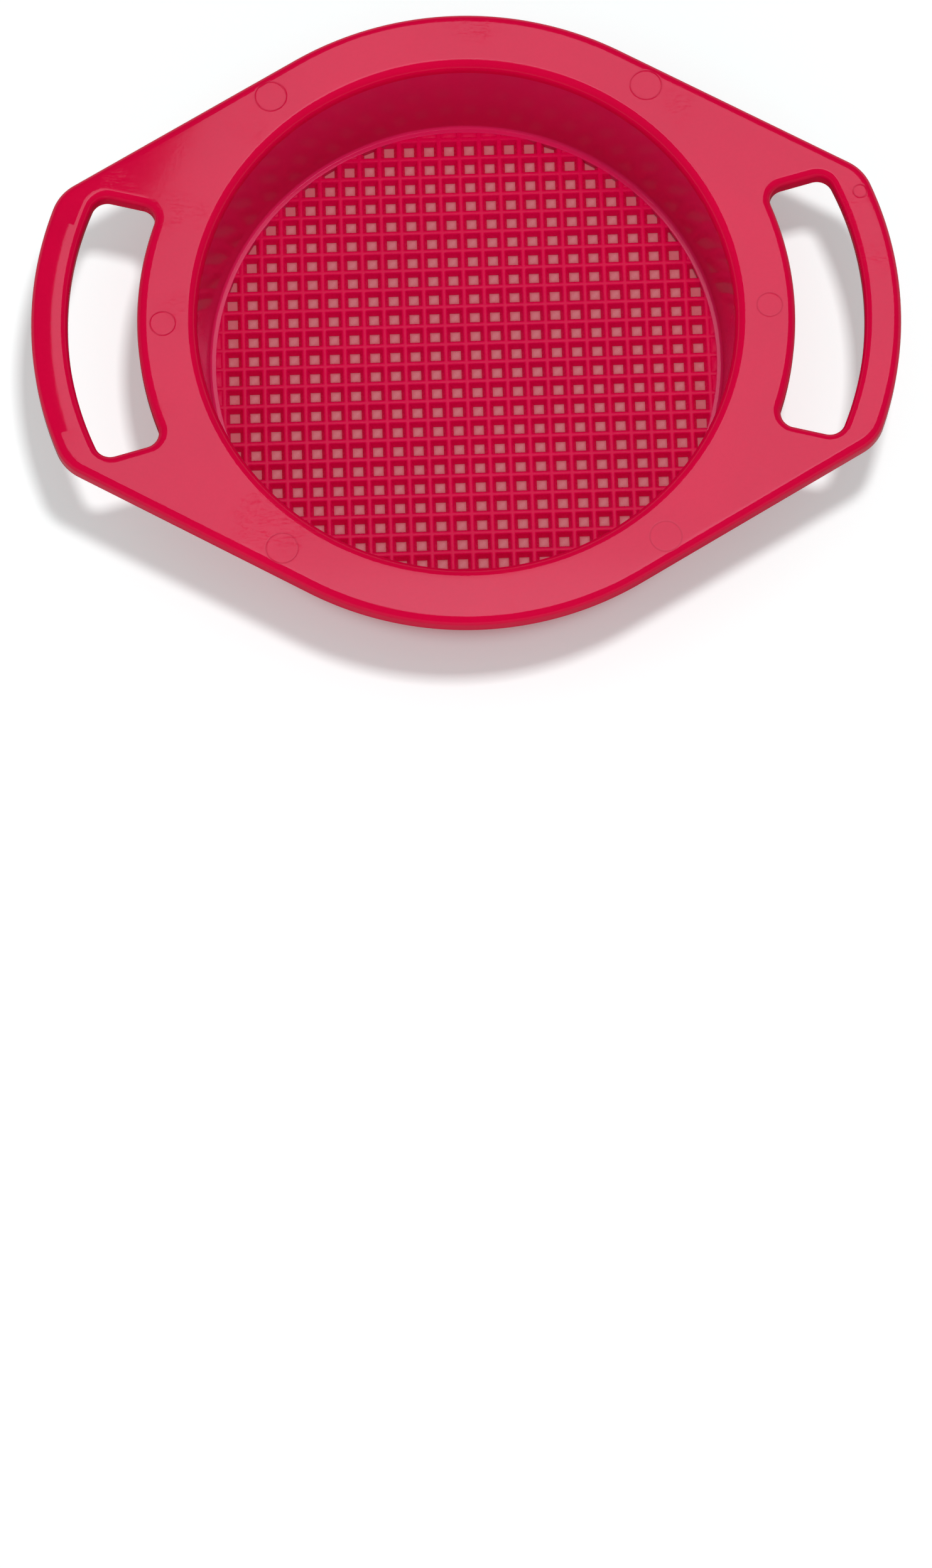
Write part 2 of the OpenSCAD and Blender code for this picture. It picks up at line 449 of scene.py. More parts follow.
class Wiring:
    """Adds nodes to a shader tree and joins them."""

    def __init__(self, tree: bpy.types.NodeTree) -> None:
        """Starts with the tree to work on."""
        self.tree = tree

    @staticmethod
    def fresh(holder: bpy.types.Material | bpy.types.World) -> "Wiring":
        """Empties the tree of a material or a world.

        Args:
            holder: The material or the world.

        Returns:
            The wiring of its empty tree.
        """
        holder.use_nodes = True
        holder.node_tree.nodes.clear()
        return Wiring(holder.node_tree)

    def add(self, kind: str, inputs: dict | None = None, **settings: object) -> bpy.types.Node:
        """Adds a node.

        Args:
            kind: Its type.
            inputs: Values or sockets for its inputs, by name or number.
            settings: Its own settings.

        Returns:
            The node.
        """
        node = self.tree.nodes.new(kind)
        for name, value in settings.items():
            setattr(node, name, value)
        for name, value in (inputs or {}).items():
            self.set(node.inputs[name], value)
        return node

    def set(self, socket: bpy.types.NodeSocket, value: object) -> None:
        """Joins a socket to another, or gives it a value.

        Args:
            socket: The input to set.
            value: An output to join it to, or a plain value.
        """
        if isinstance(value, bpy.types.NodeSocket):
            self.tree.links.new(value, socket)
        else:
            socket.default_value = value

    def group(self, tree: bpy.types.NodeTree, inputs: dict) -> bpy.types.NodeOutputs:
        """The outputs of a shared group that is given its inputs."""
        return self.add("ShaderNodeGroup", inputs, node_tree=tree).outputs

    def noise(self, inputs: dict) -> bpy.types.NodeSocket:
        """The value of a noise."""
        return self.add("ShaderNodeTexNoise", inputs).outputs[0]

    def math(self, operation: str, *values: object) -> bpy.types.NodeSocket:
        """The result of a sum on values or sockets."""
        return self.add("ShaderNodeMath", dict(enumerate(values)), operation=operation).outputs[0]

    def vector(self, operation: str, *values: object) -> bpy.types.NodeSocket:
        """The vector that a sum on vectors gives."""
        return self.add("ShaderNodeVectorMath", dict(enumerate(values)), operation=operation).outputs[0]

    def measure(self, operation: str, *values: object) -> bpy.types.NodeSocket:
        """The plain value that a sum on vectors gives, such as a length."""
        return self.add("ShaderNodeVectorMath", dict(enumerate(values)), operation=operation).outputs[1]

    def scaled(self, vector: object, factor: object) -> bpy.types.NodeSocket:
        """A vector or a colour times a factor."""
        return self.add("ShaderNodeVectorMath", {0: vector, "Scale": factor}, operation="SCALE").outputs[0]

    def spread(self, value: object, low: float, high: float,
               to_low: float = 0.0, to_high: float = 1.0) -> bpy.types.NodeSocket:
        """A value carried evenly from one span to another, and held at its ends.

        Args:
            value: The value or its socket.
            low: Start of its own span.
            high: End of its own span.
            to_low: What the start becomes.
            to_high: What the end becomes.

        Returns:
            The carried value.
        """
        names = ("Value", "From Min", "From Max", "To Min", "To Max")
        values = (value, low, high, to_low, to_high)
        return self.add("ShaderNodeMapRange", dict(zip(names, values))).outputs[0]

    def blend(self, share: object, first: object, second: object) -> bpy.types.NodeSocket:
        """A mix of two colours, which have their own numbered sockets on the node."""
        node = self.add("ShaderNodeMix", {"Factor": share, 6: first, 7: second}, data_type="RGBA")
        return node.outputs[2]

    def mixed(self, share: object, first: object, second: object) -> bpy.types.NodeSocket:
        """A mix of two shaders."""
        return self.add("ShaderNodeMixShader", {0: share, 1: first, 2: second}).outputs[0]


class Effects:
    """Shader groups that the finishes share, each built once. Lengths are in metres."""

    NOISE_LOW = 0.3
    NOISE_HIGH = 0.7
    FINE_TIMES = 2.6
    FINE_SHARE = 0.5
    FLOW_SCALE = 22.0
    FLOW_DRIFT = 0.6
    RING_W = 0.00042
    SCUFF_TURN = (0.0, 0.0, 0.9)
    SCUFF_STRETCH = (1.0, 9.0, 1.0)
    SCUFF_W = 0.03
    PATCH_SCALE = 30.0
    PATCH_LOW = 0.55
    PATCH_HIGH = 0.68

    def __init__(self) -> None:
        """Builds the groups, each with the names and kinds of its inputs, its outputs and what wires it."""
        scaled = {"Vector": "Vector", "Scale": "Float"}
        placed = {"Vector": "Vector", "Centre": "Vector", "Radius": "Float"}
        self.grain = self.group("mould_grain", scaled, ("Height", "Tone"), self.wire_grain)
        self.flow = self.group("flow_tone", {"Vector": "Vector"}, ("Tone",), self.wire_flow)
        self.ring = self.group("pin_ring", placed, ("Ring",), self.wire_ring)
        self.scuffs = self.group("scuffs", scaled, ("Mask",), self.wire_scuffs)

    @staticmethod
    def group(name: str, inputs: dict[str, str], outputs: tuple[str, ...],
              wire: Callable[[Wiring, bpy.types.NodeOutputs], tuple]) -> bpy.types.NodeTree:
        """Makes a node group.

        Args:
            name: Its name.
            inputs: Names and kinds of its inputs.
            outputs: Names of its outputs, which are all values.
            wire: Joins the nodes inside, given the wiring and the inputs, and returns the output values.

        Returns:
            The group's tree.
        """
        tree = bpy.data.node_groups.new(name, "ShaderNodeTree")
        for label, kind in inputs.items():
            tree.interface.new_socket(label, in_out="INPUT", socket_type="NodeSocket" + kind)
        for label in outputs:
            tree.interface.new_socket(label, in_out="OUTPUT", socket_type="NodeSocketFloat")
        wiring = Wiring(tree)
        values = wire(wiring, wiring.add("NodeGroupInput").outputs)
        wiring.add("NodeGroupOutput", dict(zip(outputs, values)))
        return tree

    @classmethod
    def wire_grain(cls, w: Wiring, given: bpy.types.NodeOutputs) -> tuple:
        """Fine grain left by the mould: two noises, one more than twice as fine and half as high, added.

        Args:
            w: Wiring of the group.
            given: Its inputs.

        Returns:
            The height, and a tone between -1 and 1.
        """
        coarse = w.noise({"Vector": given["Vector"], "Scale": given["Scale"], "Detail": 2.0})
        finer = w.math("MULTIPLY", given["Scale"], cls.FINE_TIMES)
        fine = w.noise({"Vector": given["Vector"], "Scale": finer, "Detail": 1.0})
        height = w.math("ADD", coarse, w.math("MULTIPLY", fine, cls.FINE_SHARE))
        return height, w.spread(coarse, cls.NOISE_LOW, cls.NOISE_HIGH, -1.0, 1.0)

    @classmethod
    def wire_flow(cls, w: Wiring, given: bpy.types.NodeOutputs) -> tuple:
        """Slow changes of tone where the plastic flowed: a broad noise, drawn out a little.

        Args:
            w: Wiring of the group.
            given: Its inputs.

        Returns:
            A tone between -1 and 1.
        """
        noise = w.noise({"Vector": given["Vector"], "Scale": cls.FLOW_SCALE, "Detail": 3.0,
                         "Distortion": cls.FLOW_DRIFT})
        return (w.spread(noise, cls.NOISE_LOW, cls.NOISE_HIGH, -1.0, 1.0),)

    @classmethod
    def wire_ring(cls, w: Wiring, given: bpy.types.NodeOutputs) -> tuple:
        """A round witness mark: a ring where the distance from its centre, seen from above, is its radius.

        Args:
            w: Wiring of the group.
            given: Its inputs.

        Returns:
            A mask that is 1 on the ring's line.
        """
        flat = w.vector("MULTIPLY", w.vector("SUBTRACT", given["Vector"], given["Centre"]), (1.0, 1.0, 0.0))
        off = w.math("ABSOLUTE", w.math("SUBTRACT", w.measure("LENGTH", flat), given["Radius"]))
        return (w.spread(off, 0.0, cls.RING_W, 1.0, 0.0),)

    @classmethod
    def wire_scuffs(cls, w: Wiring, given: bpy.types.NodeOutputs) -> tuple:
        """Short fine scratches: the thin crests of a drawn-out noise, kept only where a broad noise is high.

        Args:
            w: Wiring of the group.
            given: Its inputs.

        Returns:
            A mask that is 1 on a scratch.
        """
        turned = w.add("ShaderNodeMapping", {
            "Vector": given["Vector"], "Rotation": cls.SCUFF_TURN, "Scale": cls.SCUFF_STRETCH}).outputs[0]
        lines = w.noise({"Vector": turned, "Scale": given["Scale"], "Detail": 2.0})
        crest = w.spread(w.math("ABSOLUTE", w.math("SUBTRACT", lines, 0.5)), 0.0, cls.SCUFF_W, 1.0, 0.0)
        patch = w.noise({"Vector": given["Vector"], "Scale": cls.PATCH_SCALE, "Detail": 1.0})
        return (w.math("MULTIPLY", crest, w.spread(patch, cls.PATCH_LOW, cls.PATCH_HIGH)),)


class Repeat(Enum):
    """How a mark repeats about the sieve's upright planes of symmetry."""

    IN_FOUR_QUARTERS = "in four quarters"
    LEFT_AND_RIGHT = "left and right"
    ONCE = "once"


@dataclass(frozen=True)
class PinMark:
    """The round witness mark of an ejector pin on the top of the rim."""

    centre: Triple
    radius: float
    repeat: Repeat


PIN_MARKS = (
    PinMark((0.060, 0.077, 0.0), 0.005, Repeat.IN_FOUR_QUARTERS),
    PinMark((0.096, 0.0, 0.0), 0.004, Repeat.LEFT_AND_RIGHT),
    PinMark((0.1265, 0.038, 0.0), 0.0022, Repeat.ONCE),
)


@dataclass(frozen=True)
class MouldedPlastic:
    """A finish of the through-coloured plastic; a lift on its colour is a painted shade tint."""

    name: str
    roughness: float
    grain_scale: float
    grain_depth: float
    scuff: float = 0.0
    scuff_scale: float = 160.0
    pin_marks: bool = False
    tone_spread: float = 0.05
    grain_share: float = 0.4
    rough_spread: float = 0.15
    ior: float = 1.5
    specular: float = 0.15
    specular_tint: Triple = (1.0, 0.82, 1.0)
    # lift: painted shade tint, added to the base colour of the pieces that lie down in the basin's shade.
    lift: Triple = (0.0, 0.0, 0.0)
    mark_depth: float = 0.00002
    # Darker colour of the pin rings: painted shade for the sheen that their fine groove loses.
    mark_painted_shade: float = 0.84
    mark_rough: float = 0.22

    @staticmethod
    def shade(colour: np.ndarray, factor: float) -> tuple[float, ...]:
        """A colour made darker or lighter, no brighter than white, with its opacity."""
        return tuple(np.minimum(colour * factor, 1.0)) + (1.0,)

    @staticmethod
    def marks(w: Wiring, effects: Effects, place: bpy.types.NodeSocket) -> bpy.types.NodeSocket:
        """The rings left by the ejector pins on the top of the rim.

        Args:
            w: Wiring of the material.
            effects: Shared groups.
            place: Object coordinates.

        Returns:
            A mask of all the rings.
        """
        parts = w.add("ShaderNodeSeparateXYZ", {0: place}).outputs
        sides = w.add("ShaderNodeCombineXYZ", {0: w.math("ABSOLUTE", parts[0]), 1: parts[1]}).outputs[0]
        quarters = w.vector("ABSOLUTE", place)
        folded = {Repeat.IN_FOUR_QUARTERS: quarters, Repeat.LEFT_AND_RIGHT: sides, Repeat.ONCE: place}
        total: bpy.types.NodeSocket | float = 0.0
        for mark in PIN_MARKS:
            given = {"Vector": folded[mark.repeat], "Centre": mark.centre, "Radius": mark.radius}
            total = w.math("MAXIMUM", total, w.group(effects.ring, given)["Ring"])
        return total

    def build(self, effects: Effects, colour: Triple) -> bpy.types.Material:
        """Makes the material.

        Args:
            effects: Shared groups.
            colour: Linear base colour of the plastic.

        Returns:
            The material.
        """
        material = bpy.data.materials.new(self.name)
        w = Wiring.fresh(material)
        place = w.add("ShaderNodeTexCoord").outputs["Object"]
        grain = w.group(effects.grain, {"Vector": place, "Scale": self.grain_scale})
        flow = w.group(effects.flow, {"Vector": place})
        tone = w.math("ADD", flow["Tone"], w.math("MULTIPLY", grain["Tone"], self.grain_share))
        reach = 1.0 + self.grain_share
        # The lift paints in the bluer colour that the plastic shows in shade.
        own = np.array(colour) + np.array(self.lift)
        deep = self.shade(own, 1.0 - self.tone_spread)
        light = self.shade(own, 1.0 + self.tone_spread)
        base = w.blend(w.spread(tone, -reach, reach), deep, light)
        rough = w.math("MULTIPLY_ADD", grain["Tone"], self.rough_spread * self.roughness, self.roughness)
        height = w.math("MULTIPLY", grain["Height"], self.grain_depth)
        if self.scuff:
            scuffs = w.group(effects.scuffs, {"Vector": place, "Scale": self.scuff_scale})
            rough = w.math("MULTIPLY_ADD", scuffs["Mask"], self.scuff, rough)
        # The pin rings are real dents and rougher, and their colour is darkened as painted shade for the sheen
        # the groove loses.
        if self.pin_marks:
            ring = self.marks(w, effects, place)
            height = w.math("SUBTRACT", height, w.math("MULTIPLY", ring, self.mark_depth))
            rough = w.math("MULTIPLY_ADD", ring, self.mark_rough, rough)
            base = w.blend(ring, base, self.shade(own, self.mark_painted_shade))
        bump = w.add("ShaderNodeBump", {"Height": height, "Strength": 1.0, "Distance": 1.0}).outputs[0]
        shader = w.add("ShaderNodeBsdfPrincipled", {
            "Base Color": base, "Roughness": rough, "Normal": bump, "IOR": self.ior,
            "Specular IOR Level": self.specular, "Specular Tint": self.specular_tint + (1.0,)})
        w.add("ShaderNodeOutputMaterial", {"Surface": shader.outputs[0]})
        return material


RIM_FINISH = MouldedPlastic("rim_plastic", 0.055, 900.0, 0.0000025, scuff=0.50, pin_marks=True)
# The basin's and the grille's lifts are painted shade tint for the inside of the basin; the rim has none.
BASIN_FINISH = MouldedPlastic("basin_plastic", 0.12, 700.0, 0.000002, lift=(0.0, 0.010, 0.046))
GRILLE_FINISH = MouldedPlastic(
    "grille_plastic", 0.28, 1100.0, 0.000003, specular=0.06, lift=(0.0, 0.0, 0.0161))


def to_mesh(name: str, shell: Shell) -> bpy.types.Mesh:
    """Puts a shell into a mesh, with its faces turned outwards.

    Args:
        name: Name of the mesh.
        shell: Its points and faces.

    Returns:
        The mesh.
    """
    mesh = bpy.data.meshes.new(name)
    welded = shell.welded()
    faces = [face for block in welded.faces for face in block.tolist()]
    mesh.from_pydata(welded.points.tolist(), [], faces)
    work = bmesh.new()
    work.from_mesh(mesh)
    bmesh.ops.recalc_face_normals(work, faces=work.faces)
    work.to_mesh(mesh)
    work.free()
    mesh.validate()
    return mesh


def add_piece(name: str, mesh: bpy.types.Mesh, material: bpy.types.Material, crease: float) -> None:
    """Places a dressed piece in the scene, in the stead of the frame's node of the same name.

    Args:
        name: Name of the node that the piece stands for.
        mesh: Its mesh.
        material: Its finish.
        crease: Angle between faces above which an edge stays sharp, in degrees.
    """
    mesh.shade_smooth()
    mesh.set_sharp_from_angle(angle=math.radians(crease))
    mesh.materials.clear()
    mesh.materials.append(material)
    piece = bpy.data.objects.new(name + "_moulding", mesh)
    bpy.context.scene.collection.objects.link(piece)
    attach(piece, BODY)
    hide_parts(name)
    LOG.info("%s: %d points, %d faces", piece.name, len(mesh.vertices), len(mesh.polygons))


@dataclass
class Rim:
    """The flat rim with its turned-down edges, hand slots and grips."""

    sizes: SieveSizes
    steps: Steps
    plan: Plan
    material: bpy.types.Material
    crease: float = 40.0

    def edge_lines(self) -> tuple[np.ndarray, np.ndarray]:
        """The face and the back of a turned-down edge, from its lower lip up to the start of the flat.

        Each is a rounded lip, an upright and a bend. Inset from the outer face is first, and height from the
        top second.

        Returns:
            Matched lines of points.
        """
        s, n = self.sizes, self.steps
        bend_c = np.array([s.edge_round_r, -s.edge_round_r])
        low = -s.edge_h + s.lip_round_r
        face = np.concatenate([
            arc([s.lip_round_r, low], s.lip_round_r, 270.0, 180.0, n.lip),
            arc(bend_c, s.edge_round_r, 180.0, 90.0, n.bend)])
        back = np.concatenate([
            arc([s.rim_t - s.lip_round_r, low], s.lip_round_r, 270.0, 360.0, n.lip),
            arc(bend_c, s.edge_round_r - s.rim_t, 180.0, 90.0, n.bend)])
        return face, back

    def edge_section(self) -> Section:
        """The section of a turned-down edge with a narrow strip of the flat beyond its bend.

        Returns:
            The section, as inset from the outer face and height from the top.
        """
        s = self.sizes
        face, back = self.edge_lines()
        return Section(np.concatenate([face, [[s.plate_inset, 0.0]]]),
                       np.concatenate([back, [[s.plate_inset, -s.rim_t]]]))

    def grip_section(self) -> Section:
        """The section of a grip: one edge up, the flat top, and the other edge down.

        Returns:
            The section, as radius from the bow's centre and height.
        """
        sides = []
        for line in self.edge_lines():
            height = self.sizes.overall_h + line[:, 1]
            outer = np.stack([self.sizes.bow_r - line[:, 0], height], -1)
            inner = np.stack([self.plan.slot_bow_r + line[:, 0], height], -1)
            sides.append(np.concatenate([outer, inner[::-1]]))
        return Section(*sides)

    def plate_sheet(self) -> Shell:
        """The flat of the rim as ruled sheets: straight lines between matched points of two outlines.

        A collar runs from the mouth to the slot's inner side, and past it to the shoulder and the round. A
        web runs from the slot's end and outer side to the corner and the bow. Both are mirrored into all
        four quarters.

        Returns:
            The top of the plate.
        """
        s, n = self.sizes, self.steps
        rim = self.plan.rim_half(s.plate_inset)
        slot = self.plan.slot_half(s.plate_inset)
        turn = n.slot_side + n.slot_corner
        part = n.bow + 1 + n.corner + n.turn
        mouth = arc(MIDDLE, s.mouth_r + s.overlap, 0.0, 90.0, n.quarter)
        collar = (mouth, np.concatenate([slot[:turn + 1], rim[part:]]))
        web = (slot[turn:], rim[part::-1])
        sheets = []
        for near, far in (collar, web):
            flat = np.stack([near, far], axis=1).reshape(-1, 2)
            points = np.column_stack([flat, np.full(len(flat), s.overall_h)])
            sheets.append(Shell(points, [grid_faces(len(near), 2)]))
        signs = (1.0, -1.0)
        return Shell.joined([sheet.mirrored(x, y) for sheet in sheets for x in signs for y in signs])

    def build(self) -> None:
        """Makes the plate, and each edge and grip with its mirrored twin."""
        s = self.sizes
        edge = self.edge_section()
        rim_edge = edge.along(self.plan.rim_line, s.overall_h)
        slot_edge = edge.along(self.plan.slot_line, s.overall_h)
        angles = np.linspace(-self.plan.grip_a, self.plan.grip_a, self.steps.grip + 1)
        grip = self.grip_section().turned(self.plan.bow_c, angles)
        for name, shell, x, y in (
                ("rim_plate", self.plate_sheet().thickened(s.rim_t), 1.0, 1.0),
                ("back_rim_edge", rim_edge, 1.0, 1.0), ("front_rim_edge", rim_edge, 1.0, -1.0),
                ("right_slot_edge", slot_edge, 1.0, 1.0), ("left_slot_edge", slot_edge, -1.0, 1.0),
                ("right_grip", grip, 1.0, 1.0), ("left_grip", grip, -1.0, 1.0)):
            add_piece(name, to_mesh(name, shell.mirrored(x, y)), self.material, self.crease)


@dataclass
class Basin:
    """The rounded mouth, the drafted wall and the ring at the edge of the floor."""

    sizes: SieveSizes
    steps: Steps
    mouth_material: bpy.types.Material
    wall_material: bpy.types.Material
    crease: float = 40.0

    def wall_point(self, height: float, depth: float = 0.0) -> np.ndarray:
        """A point of the wall, which leans in by the tangent of its draft from where the mouth's round ends.

        Args:
            height: Height of the point.
            depth: Distance behind the wall's inner face.

        Returns:
            Its radius and height.
        """
        s = self.sizes
        draft = math.radians(s.wall_draft)
        end_r = s.mouth_r - s.mouth_round_r * math.cos(draft)
        end_h = s.overall_h - s.mouth_round_r + s.mouth_round_r * math.sin(draft)
        inner = end_r - (end_h - height) * math.tan(draft)
        return np.array([inner + depth / math.cos(draft), height])

    def mouth_section(self) -> Section:
        """A strip of the flat, a quarter round that ends along the wall, and a strip of the wall.

        Returns:
            The section, as radius and height.
        """
        s = self.sizes
        centre = [s.mouth_r, s.overall_h - s.mouth_round_r]
        low = centre[1] - s.overlap
        lines = []
        for depth in (0.0, s.wall_t):
            strip = [[s.mouth_r + s.overlap, s.overall_h - depth]]
            bend = arc(centre, s.mouth_round_r - depth, 90.0, 180.0 - s.wall_draft, self.steps.bend)
            lines.append(np.concatenate([strip, bend, [self.wall_point(low, depth)]]))
        return Section(*lines)

    def wall_section(self) -> Section:
        """The straight wall between the mouth and the fillet of the floor.

        Returns:
            The section, as radius and height.
        """
        s = self.sizes
        ends = (s.overall_h - s.mouth_round_r - s.overlap, self.ring_top())
        lines = [np.array([self.wall_point(height, depth) for height in ends]) for depth in (0.0, s.wall_t)]
        return Section(*lines)

    def ring_top(self) -> float:
        """Height at which the ring of the floor takes over from the wall."""
        return self.sizes.border_top + self.sizes.fillet_r + self.sizes.overlap

    def ring_section(self) -> Section:
        """The foot of the wall, its fillet, the border of the floor, and the rounded bottom edge behind.

        Returns:
            The section, with as many points on its outer line as on its inner one.
        """
        s, n = self.sizes, self.steps
        top = self.ring_top()
        level = s.border_top
        fillet_w = s.fillet_r / math.cos(math.radians(s.wall_draft))
        fillet_c = self.wall_point(level + s.fillet_r) - np.array([fillet_w, 0.0])
        lip_r = s.lip_round_r / 2
        face = np.concatenate([
            [self.wall_point(top)],
            arc(fillet_c, s.fillet_r, -s.wall_draft, -90.0, n.bend),
            arc([s.grille_r + lip_r, level - lip_r], lip_r, 90.0, 180.0, n.lip)])
        round_c = self.wall_point(s.base_round_r, s.wall_t) - np.array([s.base_round_r, 0.0])
        back = np.concatenate([
            [self.wall_point(top, s.wall_t)],
            arc(round_c, s.base_round_r, 0.0, -90.0, n.bend),
            np.linspace([round_c[0], 0.0], [s.grille_r, 0.0], n.lip + 2)[1:]])
        return Section(face, back)

    def build(self) -> None:
        """Makes the three rings of the basin, each its section turned all the way round."""
        angles = np.arange(4 * self.steps.quarter) * (90.0 / self.steps.quarter)
        for name, section, material in (
                ("mouth_edge", self.mouth_section(), self.mouth_material),
                ("basin_wall", self.wall_section(), self.wall_material),
                ("floor_ring", self.ring_section(), self.wall_material)):
            mesh = to_mesh(name, section.turned(MIDDLE, angles, closed=True))
            add_piece(name, mesh, material, self.crease)


@dataclass
class Grille:
    """The floor of crossing bars with tapered square holes between them.

    The crest's shares are of half a bar's top width, and each drops by a share of the floor's thickness.
    A hole is open when its middle is no farther past the border than a share of its width.
    """

    sizes: SieveSizes
    material: bpy.types.Material
    crease: float = 48.0
    lift: float = 0.00008
    crest_shares: tuple[float, ...] = (0.0, 0.45, 0.85, 1.08)
    drop_shares: tuple[float, ...] = (0.0, 0.003, 0.025, 0.12)
    open_share: float = 0.15
    flat_within: float = 0.000002
    trim: float = 0.0002
    trim_sides: int = 240

    def bar_profile(self) -> tuple[np.ndarray, np.ndarray]:
        """Places across a bar and its height there: a crowned top with rounded shoulders and leaning sides.

        Returns:
            Distances from the bar's centre line, and heights above the floor's underside.
        """
        s = self.sizes
        half = np.array(self.crest_shares) * s.bar_top_w / 2
        high = s.floor_t * (1.0 - np.array(self.drop_shares))
        across = np.concatenate([[-s.bar_base_w / 2], -half[:0:-1], half, [s.bar_base_w / 2]])
        height = np.concatenate([[self.lift], high[:0:-1], high, [self.lift]])
        return across, height

    def cells(self, line: np.ndarray, gap: np.ndarray) -> tuple[np.ndarray, np.ndarray]:
        """Cells of a grid that lie between two bars both ways.

        Args:
            line: Places of the grid's lines.
            gap: Whether the space after each line lies between two bars.

        Returns:
            A mask of the open holes, and one of the cells past the border, which are shut.
        """
        s = self.sizes
        open_r = s.grille_r + self.open_share * (s.hole_pitch - s.bar_base_w)
        middle = (line[:-1] + line[1:]) / 2
        inside = np.hypot(middle[:, None], middle[None, :]) <= open_r
        between = gap[:, None] & gap[None, :]
        return between & inside, between & ~inside

    def upper(self, line: np.ndarray, level: np.ndarray, gap: np.ndarray) -> Shell:
        """The top of the bars: at each point of a grid the height is the greater of the two bars' heights.

        A hole has no face, and a shut cell is a shallow pan. A quad that isn't flat is split from its lowest
        corner.

        Args:
            line: Places of the grid's lines, which follow the profile of every bar.
            level: A bar's height along each line.
            gap: Whether the space after each line lies between two bars.

        Returns:
            The shell of the top and of the holes' sides.
        """
        hole, shut = self.cells(line, gap)
        x, y = np.meshgrid(line, line, indexing="ij")
        z = np.maximum(level[:, None], level[None, :])
        i, j = np.nonzero(shut)
        for down, across in ((0, 0), (0, 1), (1, 0), (1, 1)):
            z[i + down, j + across] = self.sizes.border_top - self.lift
        points = np.stack([x, y, z], -1).reshape(-1, 3)
        quads = grid_faces(len(line), len(line))[~hole.reshape(-1)]
        high = points[quads][:, :, 2]
        twist = np.abs(high @ np.array([1.0, -1.0, 1.0, -1.0])) > self.flat_within
        order = (np.argmin(high, axis=1)[:, None] + np.arange(4)) % 4
        turned = np.take_along_axis(quads, order, axis=1)[twist]
        return Shell(points, [quads[~twist], turned[:, [0, 1, 2]], turned[:, [0, 2, 3]]])

    def lower(self, line: np.ndarray) -> Shell:
        """The flat underside of the bars.

        Args:
            line: Places of the two sides of every bar, at its foot.

        Returns:
            The shell of the underside.
        """
        gap = np.arange(len(line) - 1) % 2 == 1
        hole, _ = self.cells(line, gap)
        x, y = np.meshgrid(line, line, indexing="ij")
        points = np.stack([x, y, np.full_like(x, self.lift)], -1).reshape(-1, 3)
        return Shell(points, [grid_faces(len(line), len(line))[~hole.reshape(-1)][:, ::-1]])

    def lattice(self) -> Shell:
        """The crossing bars, one pitch apart both ways.

        Returns:
            The closed shell of the bars, before its round outline is cut.
        """
        s = self.sizes
        reach = math.ceil(s.floor_r / s.hole_pitch)
        bars = np.arange(-reach, reach + 1) * s.hole_pitch
        across, height = self.bar_profile()
        last = len(across) - 1
        line = (bars[:, None] + across[None, :]).reshape(-1)
        place = np.arange(len(line)) % len(across)
        upper = self.upper(line, np.tile(height, len(bars)), place[:-1] == last)
        return Shell.joined([upper, self.lower(line[(place == 0) | (place == last)])])

    def drum(self) -> Shell:
        """The round that the bars are cut to: a ring of points at two heights, with a side and two ends.

        Returns:
            The closed shell of the drum.
        """
        s = self.sizes
        rim = arc(MIDDLE, s.floor_r + self.trim, 0.0, 360.0, self.trim_sides)[:-1]
        low = np.column_stack([rim, np.full(len(rim), -s.floor_t)])
        high = np.column_stack([rim, np.full(len(rim), 2 * s.floor_t)])
        ring = np.arange(len(rim))[None, :]
        side = grid_faces(2, len(rim), wrap_cols=True)
        return Shell(np.concatenate([low, high]), [side, ring, ring + len(rim)])

    def build(self) -> None:
        """Makes the bars and cuts them to the round floor with the drum."""
        raw = bpy.data.objects.new("bars", to_mesh("bars", self.lattice()))
        cutter = bpy.data.objects.new("drum", to_mesh("drum", self.drum()))
        for part in (raw, cutter):
            bpy.context.scene.collection.objects.link(part)
        cut = raw.modifiers.new("outline", "BOOLEAN")
        cut.operation = "INTERSECT"
        cut.solver = "EXACT"
        cut.object = cutter
        graph = bpy.context.evaluated_depsgraph_get()
        mesh = bpy.data.meshes.new_from_object(raw.evaluated_get(graph))
        for part in (raw, cutter):
            bpy.data.objects.remove(part)
        mesh.name = "grille"
        add_piece("grille", mesh, self.material, self.crease)


@dataclass(frozen=True)
class SoftBox:
    """A rectangular lamp with an even face, which may be left out of the gloss or of the light."""

    name: str
    centre: Triple
    width: float
    depth: float
    radiance: float
    turn: float = 0.0
    in_gloss: bool = True
    lights: bool = True
    aimed: bool = False

    def build(self) -> None:
        """Hangs the lamp facing down or at the sieve. Its power is its radiance times pi times its area."""
        lamp = bpy.data.lights.new(self.name, "AREA")
        lamp.shape = "RECTANGLE"
        lamp.size = self.width
        lamp.size_y = self.depth
        lamp.energy = self.radiance * math.pi * self.width * self.depth
        holder = bpy.data.objects.new(self.name, lamp)
        facing = Matrix.Rotation(math.radians(self.turn), 4, "Z")
        if self.aimed:
            facing = Vector(self.centre).to_track_quat("Z", "Y").to_matrix().to_4x4()
        holder.matrix_world = Matrix.Translation(self.centre) @ facing
        holder.visible_glossy = self.in_gloss
        holder.visible_diffuse = self.lights
        holder.visible_camera = False
        bpy.context.scene.collection.objects.link(holder)


